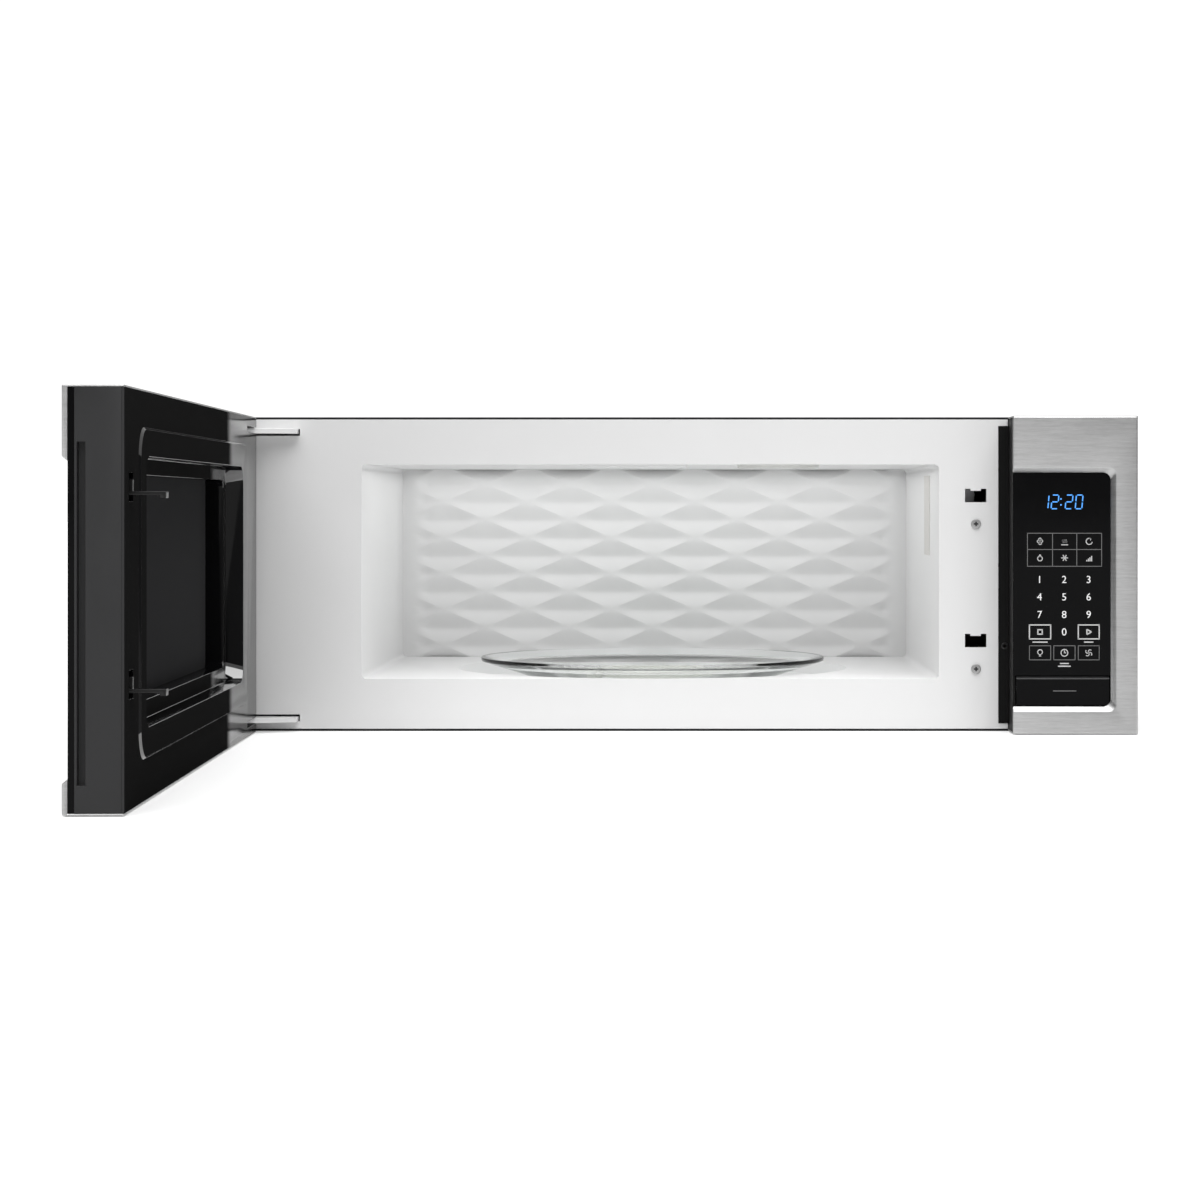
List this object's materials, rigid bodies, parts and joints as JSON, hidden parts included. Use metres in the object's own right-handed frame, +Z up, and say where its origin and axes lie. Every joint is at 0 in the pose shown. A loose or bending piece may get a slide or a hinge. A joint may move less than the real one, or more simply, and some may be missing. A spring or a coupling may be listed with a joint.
{
  "type": "over the range microwave",
  "caption": "Low-profile microwave oven hung over a range, with a side-hinged door standing open on a white cavity with a glass turntable, and a touch control panel.",
  "frame": {"origin": "centre of the wall plate's rear face, where the unit meets the wall", "axes": "+X to the right seen from the front, +Y back into the wall, +Z up"},
  "size_m": [0.7605, 1.0783, 0.26],
  "materials": {
    "painted_cabinet": "fine textured dark grey paint",
    "galvanised_steel": "zinc-plated sheet, satin",
    "bright_steel": "turned steel, bright",
    "white_enamel": "smooth white enamel",
    "mica": "pressed mica sheet, silvery grey",
    "lamp_plastic": "frosted clear plastic",
    "lamp_body": "white lamp board",
    "black_plastic": "black moulded plastic, fine grain",
    "frame_plastic": "dark grey moulded plastic",
    "gloss_black": "glossy black moulding",
    "stainless": "brushed stainless, horizontal grain",
    "black_glass": "black-backed glass, polished",
    "screen_steel": "black perforated steel",
    "display": "dark display window",
    "circuit_board": "green circuit board",
    "table_glass": "clear tempered glass",
    "pale_nylon": "pale nylon",
    "motor_steel": "plated steel case",
    "lamination": "varnished laminated core",
    "can_aluminium": "plain aluminium",
    "diode_epoxy": "black epoxy",
    "fan_plastic": "grey moulded plastic",
    "spring_steel": "spring wire"
  },
  "bodies": {
    "cabinet": {"outer_wrap": "painted_cabinet", "base_pan": "painted_cabinet", "rear_panel": "painted_cabinet", "wall_plate": "galvanised_steel", "hinge_bracket_upper": "galvanised_steel", "hinge_bracket_lower": "galvanised_steel", "waveguide": "galvanised_steel", "bay_partition": "galvanised_steel", "exhaust_collar": "galvanised_steel", "blower_housing": "galvanised_steel", "front_screws": "bright_steel", "cavity_face": "white_enamel", "cavity_shell": "white_enamel", "cavity_back": "white_enamel", "ceiling_baffle": "white_enamel", "waveguide_cover": "mica", "cavity_lamp_cover": "lamp_plastic", "light_lenses": "lamp_plastic", "cavity_lamp": "lamp_body", "light_boards": "lamp_body", "control_housing": "black_plastic", "latch_board": "black_plastic", "cord_bushing": "black_plastic", "interlock_switches": "black_plastic", "control_bezel": "stainless", "touch_glass": "black_glass", "display_module": "display", "control_board": "circuit_board", "noise_filter": "circuit_board", "turntable_motor": "motor_steel", "fan_motor": "motor_steel", "blower_motor": "motor_steel", "magnetron": "motor_steel", "transformer": "lamination", "capacitor": "can_aluminium", "grease_filters": "can_aluminium", "diode": "diode_epoxy"},
    "door": {"door_trim": "stainless", "door_glass": "black_glass", "door_frame": "frame_plastic", "door_inner_cover": "gloss_black", "window_pane": "black_glass", "door_choke": "galvanised_steel", "door_screen": "screen_steel", "hinge_bushings": "pale_nylon", "latch_spring": "spring_steel"},
    "latch": {"latch_bar": "black_plastic"},
    "button": {"release_button": "black_plastic"},
    "lever": {"release_lever": "black_plastic"},
    "turntable": {"glass_plate": "table_glass", "drive_coupler": "pale_nylon"},
    "roller_track": {"roller_ring": "pale_nylon"},
    "roller_one": {"roller_1": "pale_nylon"},
    "roller_two": {"roller_2": "pale_nylon"},
    "roller_three": {"roller_3": "pale_nylon"},
    "damper": {"damper_flap": "galvanised_steel"},
    "blower": {"blower_shaft": "bright_steel", "blower_wheel_front": "fan_plastic", "blower_wheel_rear": "fan_plastic"},
    "fan": {"cooling_fan": "fan_plastic"}
  },
  "joints": [
    {"name": "door_hinge", "type": "hinge", "parent": "cabinet", "child": "door", "pos_m": [-0.361, -0.441, 0], "axis": [0, 0, -1], "range_deg": [-88.6, 4]},
    {"name": "latch_slide", "type": "slide", "parent": "door", "child": "latch", "axis": [0, 0, 1], "range_m": [0, 0.003], "stiffness_N_per_m": 250, "springref_m": -0.012, "deforming": ["latch_spring"]},
    {"name": "button_slide", "type": "slide", "parent": "cabinet", "child": "button", "axis": [0, 1, 0], "range_m": [0, 0.004], "stiffness_N_per_m": 300, "springref_m": -0.004},
    {"name": "lever_turn", "type": "hinge", "parent": "cabinet", "child": "lever", "pos_m": [0.3, -0.411, -0.076], "axis": [1, 0, 0], "range_deg": [0, 26]},
    {"name": "turntable_spin", "type": "hinge", "parent": "cabinet", "child": "turntable", "pos_m": [-0.0183, -0.24275, -0.0857], "axis": [0, 0, 1], "continuous": true},
    {"name": "track_spin", "type": "hinge", "parent": "cabinet", "child": "roller_track", "pos_m": [-0.0183, -0.24275, -0.0917], "axis": [0, 0, 1], "continuous": true},
    {"name": "roller_one_spin", "type": "hinge", "parent": "roller_track", "child": "roller_one", "pos_m": [0.079, -0.24275, -0.0917], "axis": [1, 0, 0], "continuous": true},
    {"name": "roller_two_spin", "type": "hinge", "parent": "roller_track", "child": "roller_two", "pos_m": [-0.06695, -0.15849, -0.0917], "axis": [-0.5, 0.866, 0], "continuous": true},
    {"name": "roller_three_spin", "type": "hinge", "parent": "roller_track", "child": "roller_three", "pos_m": [-0.06695, -0.32701, -0.0917], "axis": [-0.5, -0.866, 0], "continuous": true},
    {"name": "damper_swing", "type": "hinge", "parent": "cabinet", "child": "damper", "pos_m": [0, -0.0173, 0.1268], "axis": [-1, 0, 0], "range_deg": [0, 80]},
    {"name": "blower_spin", "type": "hinge", "parent": "cabinet", "child": "blower", "pos_m": [-0.3188, -0.242, 0], "axis": [0, 1, 0], "continuous": true},
    {"name": "fan_spin", "type": "hinge", "parent": "cabinet", "child": "fan", "pos_m": [0.3, -0.12, 0.046], "axis": [0, 1, 0], "continuous": true}
  ],
  "couplings": [
    {"joint": "lever_turn", "follows": "button_slide", "rad_per_m": 93.811},
    {"joint": "track_spin", "follows": "turntable_spin", "ratio": 0.5},
    {"joint": "roller_one_spin", "follows": "turntable_spin", "ratio": -8.5351},
    {"joint": "roller_two_spin", "follows": "turntable_spin", "ratio": -8.5351},
    {"joint": "roller_three_spin", "follows": "turntable_spin", "ratio": -8.5351}
  ]
}
